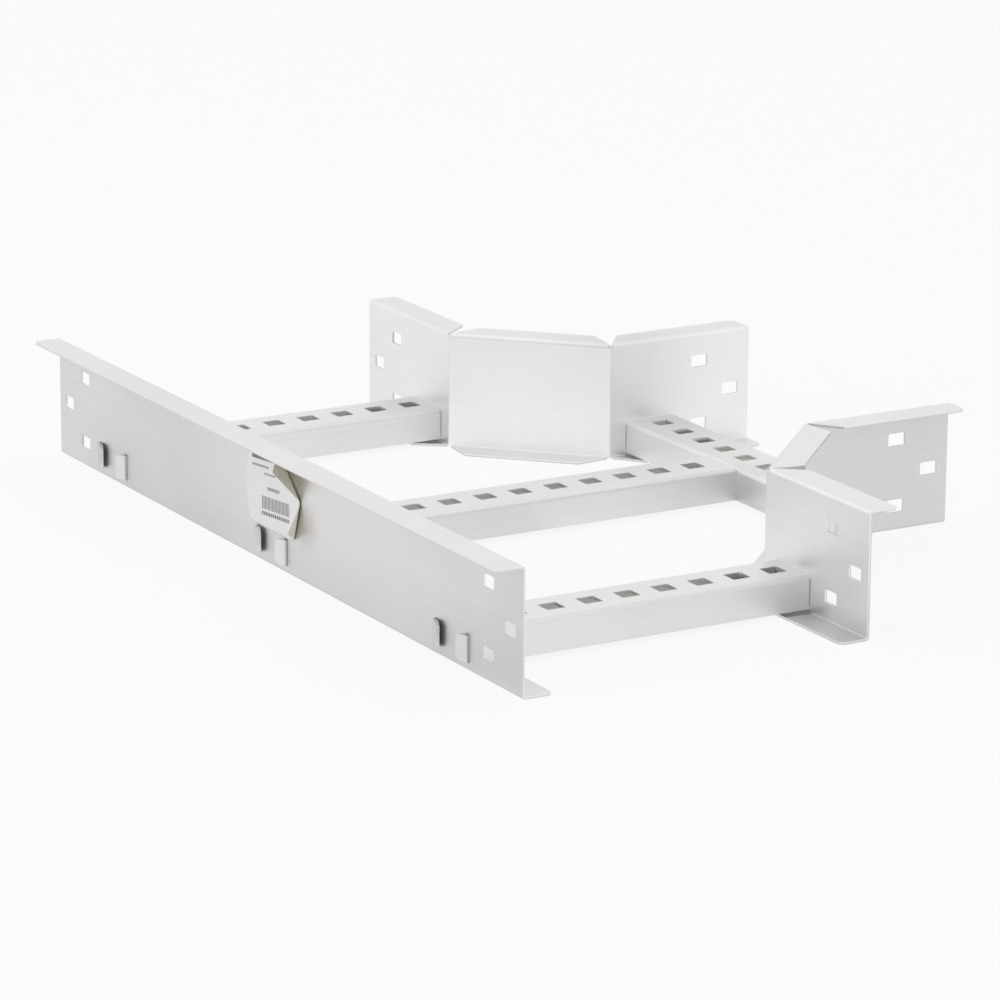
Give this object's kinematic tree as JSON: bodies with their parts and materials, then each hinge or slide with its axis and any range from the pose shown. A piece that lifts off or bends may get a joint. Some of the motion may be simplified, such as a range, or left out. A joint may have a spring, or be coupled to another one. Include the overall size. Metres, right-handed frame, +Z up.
{
  "type": "cable tray tee",
  "caption": "Ladder cable tray tee in bent aluminium sheet: a straight side rail, two cranked corner rails and perforated channel rungs that carry cables into a side branch.",
  "frame": {"origin": "on the floor, in the middle of the overall box", "axes": "+X towards the open end of the branch, +Y along the main run, +Z up"},
  "size_m": [0.435, 0.606, 0.078],
  "materials": {
    "aluminium": "satin mill finish",
    "paper": "matt"
  },
  "bodies": {
    "root": {"long_side_rail": "aluminium", "far_corner_rail": "aluminium", "near_corner_rail": "aluminium", "far_rung": "aluminium", "middle_rung": "aluminium", "near_rung": "aluminium", "branch_rung": "aluminium", "paper_label": "paper"}
  },
  "joints": []
}
